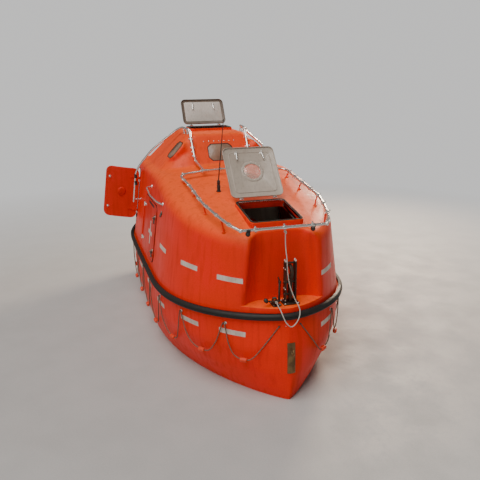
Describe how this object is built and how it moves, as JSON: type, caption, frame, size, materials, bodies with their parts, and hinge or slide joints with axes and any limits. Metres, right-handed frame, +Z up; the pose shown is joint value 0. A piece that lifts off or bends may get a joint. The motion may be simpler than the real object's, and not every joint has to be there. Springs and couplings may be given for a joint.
{
  "type": "enclosed lifeboat",
  "caption": "Totally enclosed orange motor lifeboat with wheelhouse, hinged doors and deck hatches, lifting hooks, spray pipes, fender and looped lifelines.",
  "frame": {"origin": "on the centreline at the waterline, close to amidships", "axes": "+X to the bow, +Y to port, +Z up"},
  "size_m": [5.114, 2.6138, 3.3489],
  "materials": {
    "grp_orange": "moulded glass-fibre with a worn gloss",
    "fender_rubber": "matt black rubber section",
    "liner_grey": "satin inner moulding",
    "engine_grey": "painted engine block",
    "seat_black": "vinyl",
    "window_glass": "dusty smoked pane",
    "clear_pane": "clear acrylic",
    "cover_grey": "grey-beige inner gelcoat",
    "seal_rubber": "soft black sealing strip",
    "stainless": "bright drawn tube",
    "hook_steel": "dark paint with rust",
    "bronze": "dull bronze",
    "black_plastic": "semi-matt",
    "orange_paint": "gloss paint",
    "lifeline_rope": "laid rope",
    "white_rope": "braided white rope"
  },
  "bodies": {
    "boat": {"hull": "grp_orange", "canopy": "grp_orange", "fender": "fender_rubber", "inner_liner": "liner_grey", "engine": "engine_grey", "helm_seat": "seat_black", "helm_console": "liner_grey", "window_front": "window_glass", "window_aft": "window_glass", "window_side_starboard": "window_glass", "window_side_port": "window_glass", "fore_hatch_seal": "seal_rubber", "top_hatch_seal": "seal_rubber", "spray_pipe_deck": "stainless", "spray_pipe_house_port": "stainless", "spray_pipe_house_starboard": "stainless", "grab_rail_port": "stainless", "grab_rail_starboard": "stainless", "hook_fore": "hook_steel", "hook_aft": "hook_steel", "painter_release": "hook_steel", "stem_plate": "bronze", "aerial_base": "black_plastic", "aerial_whip": "black_plastic", "lifeline_port": "lifeline_rope", "lifeline_starboard": "lifeline_rope", "painter_line": "white_rope"},
    "door_fore_starboard": {"door_fore_starboard": "grp_orange"},
    "door_fore_port": {"door_fore_port": "grp_orange"},
    "door_aft_starboard": {"door_aft_starboard": "grp_orange"},
    "door_aft_port": {"door_aft_port": "grp_orange"},
    "fore_hatch": {"fore_hatch_cover": "cover_grey", "fore_hatch_pane": "clear_pane"},
    "top_hatch": {"top_hatch_cover": "cover_grey"},
    "propeller": {"propeller_shaft": "stainless", "propeller": "bronze"},
    "steering_nozzle": {"steering_nozzle": "orange_paint"}
  },
  "joints": [
    {"name": "fore_door_starboard_hinge", "type": "hinge", "parent": "boat", "child": "door_fore_starboard", "pos_m": [-0.4, -1.05323, 0.985], "axis": [0, 0.124, 0.9923], "range_deg": [-100, 0]},
    {"name": "fore_door_port_hinge", "type": "hinge", "parent": "boat", "child": "door_fore_port", "pos_m": [-0.4, 1.05323, 0.985], "axis": [0, -0.124, 0.9923], "range_deg": [0, 100]},
    {"name": "aft_door_starboard_hinge", "type": "hinge", "parent": "boat", "child": "door_aft_starboard", "pos_m": [-1.14, -1.02934, 1.18], "axis": [0, 0.124, 0.9923], "range_deg": [-90, 0]},
    {"name": "aft_door_port_hinge", "type": "hinge", "parent": "boat", "child": "door_aft_port", "pos_m": [-1.14, 1.02934, 1.18], "axis": [0, -0.124, 0.9923], "range_deg": [-90, 0]},
    {"name": "fore_hatch_hinge", "type": "hinge", "parent": "boat", "child": "fore_hatch", "pos_m": [1.52779, 0, 1.89552], "axis": [0, 1, 0], "range_deg": [0, 138]},
    {"name": "top_hatch_hinge", "type": "hinge", "parent": "boat", "child": "top_hatch", "pos_m": [-0.893, 0, 2.492], "axis": [0, 1, 0], "range_deg": [0, 122]},
    {"name": "steering_pivot", "type": "hinge", "parent": "boat", "child": "steering_nozzle", "pos_m": [-2.11, 0, -0.25], "axis": [0, 0, 1], "range_deg": [-35, 35]},
    {"name": "propeller_spin", "type": "hinge", "parent": "boat", "child": "propeller", "pos_m": [-2.11, 0, -0.25], "axis": [1, 0, 0], "continuous": true}
  ]
}
